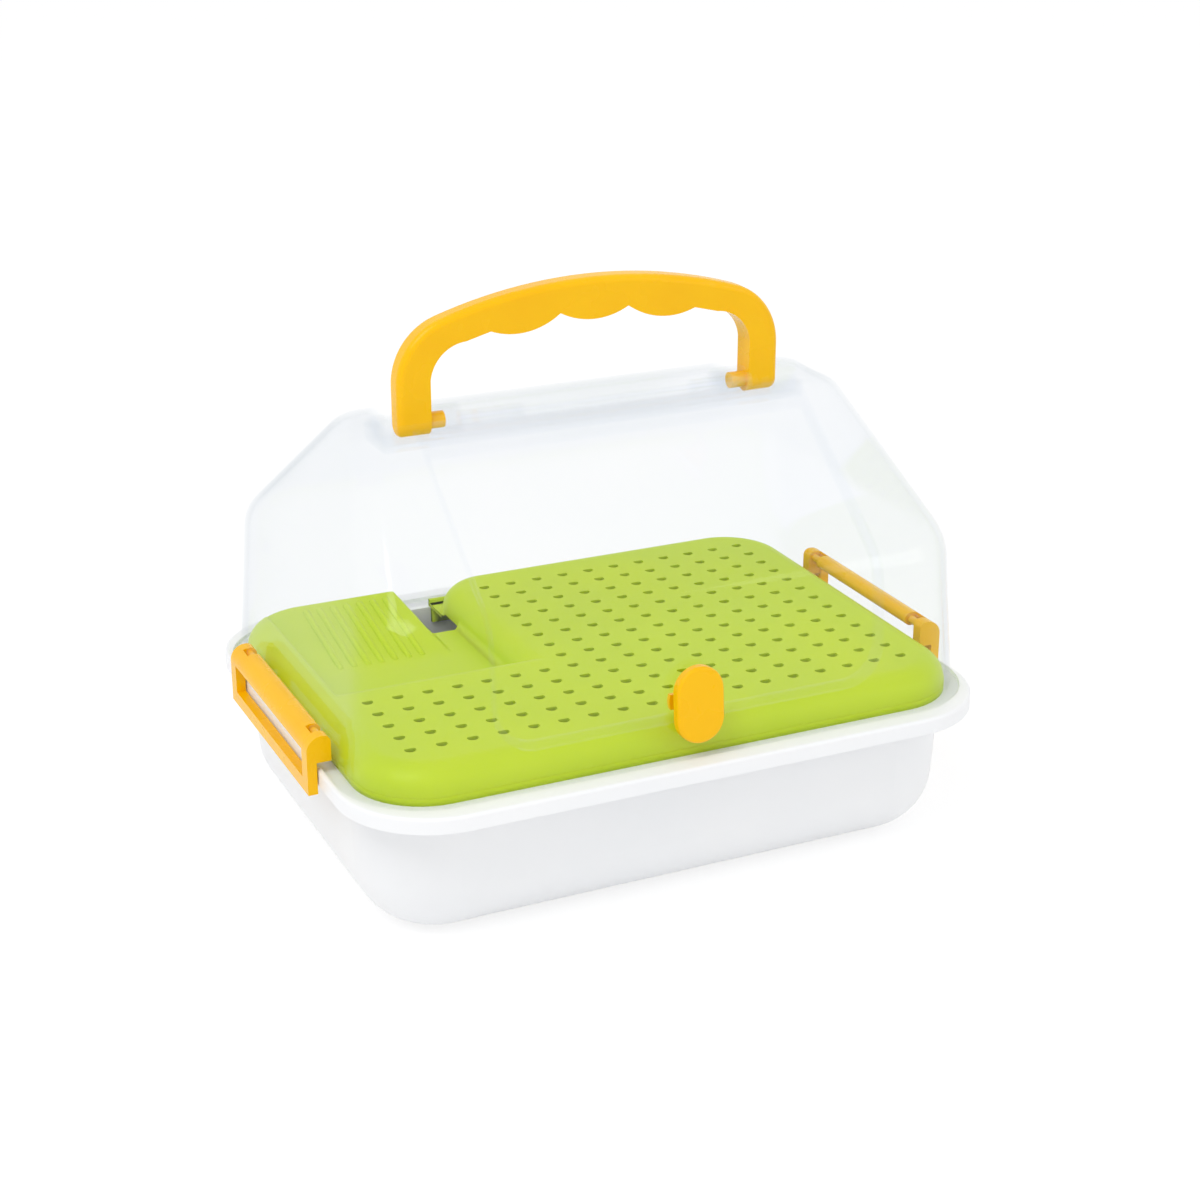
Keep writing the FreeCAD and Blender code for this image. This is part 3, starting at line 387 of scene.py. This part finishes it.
def deckRibs():
    # ribs up the ramp: half a round bar along a straight line, closed by a quarter ball at both ends
    d = deck
    radius = d["ribRadius"]
    around = np.linspace(0, math.pi, d["ribSteps"][0])
    bulge = np.linspace(0, math.pi / 2, d["ribSteps"][1])
    along = np.concatenate([-np.cos(bulge[:-1]) * radius, d["ribLength"] + np.sin(bulge) * radius])[:, None]
    thick = (np.concatenate([np.sin(bulge[:-1]), np.cos(bulge)]) * radius)[:, None]
    x = thick * np.cos(around)
    up = thick * np.sin(around) + d["ribProud"] - radius
    cosine = 1 / math.hypot(1, d["rampRise"])
    y = d["rampStart"] + (along - up * d["rampRise"]) * cosine
    z = d["seat"] + d["wall"] + (along * d["rampRise"] + up) * cosine
    one = np.stack([x, y, z], axis=-1).reshape(-1, 3)
    offset = d["ribFirst"] - d["ribStep"] * np.arange(d["ribCount"])
    verts = one[None] + np.array([1, 0, 0]) * offset[:, None, None]
    faces = gridFaces(*x.shape)[None] + np.arange(d["ribCount"])[:, None, None] * len(one)
    newPiece("deckRibs", "deck", limePolypropylene, verts.reshape(-1, 3),
             faces.reshape(-1, 4)[:, ::-1])


def deckSkirt():
    # ledge and locating skirt under the pan: one closed profile carried round the deck
    d = deck
    outline, skirt = (*d["half"], d["corner"]), (*d["skirtHalf"], d["skirtCorner"])
    inset = [v - d["wall"] for v in outline]
    bore = [v - d["skirtWall"] for v in skirt]
    panEdge, floor = d["top"] - d["round"], d["seat"] + d["wall"]
    profile = [(bore, floor), (bore, d["skirtLow"]), (skirt, d["skirtLow"]), (skirt, d["seat"]),
               (outline, d["seat"]), (outline, panEdge), (inset, panEdge), (inset, floor)]
    around = 4 * sum(d["skirtSteps"])
    rings = np.array([np.column_stack([ringRow(*size, *d["skirtSteps"]), np.full(around, level)])
                      for size, level in profile])
    # points beside the water opening move onto its edges, and the skirt is left open between them
    left, right, front = d["water"]
    behind = rings[..., 1] > front
    for edge in (left, right):
        near = behind & (np.abs(rings[..., 0] - edge) < d["skirtSnap"])
        rings[..., 0] = np.where(near, edge, rings[..., 0])
    verts = rings.reshape(-1, 3)
    faces = gridFaces(*rings.shape[:2], True, True)
    centre = verts[faces].mean(axis=1)
    gap = (centre[:, 0] > left) & (centre[:, 0] < right) & (centre[:, 1] > front)
    newPiece("deckSkirt", "deck", limePolypropylene, verts, faces[~gap])


deckPan()
deckRibs()
deckSkirt()
print("deck done")


# Stage: floor, light and camera

white = (1, 1, 1, 1)
stageLook = {"floorSize": 8.0, "floorWhite": "#ffffff", "skyLight": 0.75, "glow": 0.7, "glowStrength": 1.1}
lamps = {
    "keyLight": {"place": (-0.9, -0.5, 1.5), "aim": (0, 0, 0.08), "size": (0.9, 0.9), "power": 9},
    "fillLight": {"place": (1.2, -1.2, 0.9), "aim": (0, 0, 0.05), "size": (0.8, 0.8), "power": 2.5},
}
# pinhole fitted to the deck's lattice of drains: 25 degrees to the left of the door, 22 above level
photoView = {"sensor": 36, "lens": 68.5, "clipEnd": 50, "place": (-0.341, -0.741, 0.411),
             "down": 21.75, "turn": 24.98}
# a look through the lid crosses up to sixteen clear faces
clearBounces = 32


def seenRays(tree):
    # 1 for what is looked at, in a mirror or through the lid too, and 0 for what only lights the tank
    path = addNode(tree, "ShaderNodeLightPath", {})
    direct = addNode(tree, "ShaderNodeMath", {"operation": "MAXIMUM"},
                     {0: path.outputs["Is Camera Ray"], 1: path.outputs["Is Glossy Ray"]})
    seen = addNode(tree, "ShaderNodeMath", {"operation": "MAXIMUM"},
                   {0: direct.outputs[0], 1: path.outputs["Is Transmission Ray"]})
    return seen.outputs[0]


def floorPlane():
    # white paper that keeps the tank's shadow, with a glow that takes its edge into the white behind
    half = stageLook["floorSize"] / 2
    mesh = bpy.data.meshes.new("floor")
    corners = [(-half, -half, 0), (half, -half, 0), (half, half, 0), (-half, half, 0)]
    mesh.from_pydata(corners, [], [(0, 1, 2, 3)])
    floor = bpy.data.objects.new("floor", mesh)
    bpy.context.scene.collection.objects.link(floor)
    material = bpy.data.materials.new("paperSweep")
    tree = emptyTree(material)
    share = addNode(tree, "ShaderNodeMath", {"operation": "MULTIPLY", 1: stageLook["glow"]},
                    {0: seenRays(tree)})
    paper = addNode(tree, "ShaderNodeBsdfDiffuse", {"Color": linearColour(stageLook["floorWhite"])})
    glow = addNode(tree, "ShaderNodeEmission", {"Color": white, "Strength": stageLook["glowStrength"]})
    both = addNode(tree, "ShaderNodeMixShader", {},
                   {0: share.outputs[0], 1: paper.outputs[0], 2: glow.outputs[0]})
    addNode(tree, "ShaderNodeOutputMaterial", {}, {"Surface": both.outputs[0]})
    mesh.materials.append(material)


def skyDome():
    # plain white where it is seen, a weaker even light where it only lights the tank
    world = bpy.data.worlds.new("studio")
    bpy.context.scene.world = world
    tree = emptyTree(world)
    ambient = addNode(tree, "ShaderNodeBackground", {"Color": white, "Strength": stageLook["skyLight"]})
    backdrop = addNode(tree, "ShaderNodeBackground", {"Color": white, "Strength": 1.0})
    both = addNode(tree, "ShaderNodeMixShader", {},
                   {0: seenRays(tree), 1: ambient.outputs[0], 2: backdrop.outputs[0]})
    addNode(tree, "ShaderNodeOutputWorld", {}, {"Surface": both.outputs[0]})


def softBox(name, look):
    light = bpy.data.lights.new(name, "AREA")
    light.shape = "RECTANGLE"
    light.size, light.size_y = look["size"]
    light.energy = look["power"]
    lamp = bpy.data.objects.new(name, light)
    bpy.context.scene.collection.objects.link(lamp)
    x, y, z = np.array(look["aim"]) - np.array(look["place"])
    lamp.location = look["place"]
    lamp.rotation_euler = (math.atan2(math.hypot(x, y), -z), 0, math.atan2(-x, y))


def photoCamera():
    camera = bpy.data.cameras.new("photoCamera")
    camera.sensor_width = photoView["sensor"]
    camera.lens = photoView["lens"]
    camera.clip_end = photoView["clipEnd"]
    holder = bpy.data.objects.new("photoCamera", camera)
    bpy.context.scene.collection.objects.link(holder)
    holder.location = photoView["place"]
    holder.rotation_euler = (math.radians(90 - photoView["down"]), 0, math.radians(-photoView["turn"]))
    bpy.context.scene.camera = holder


floorPlane()
skyDome()
for name, look in lamps.items():
    softBox(name, look)
photoCamera()
bpy.context.scene.view_settings.view_transform = "Standard"
bounces = bpy.context.scene.cycles
bounces.max_bounces = bounces.transmission_bounces = bounces.transparent_max_bounces = clearBounces
print("stage done")
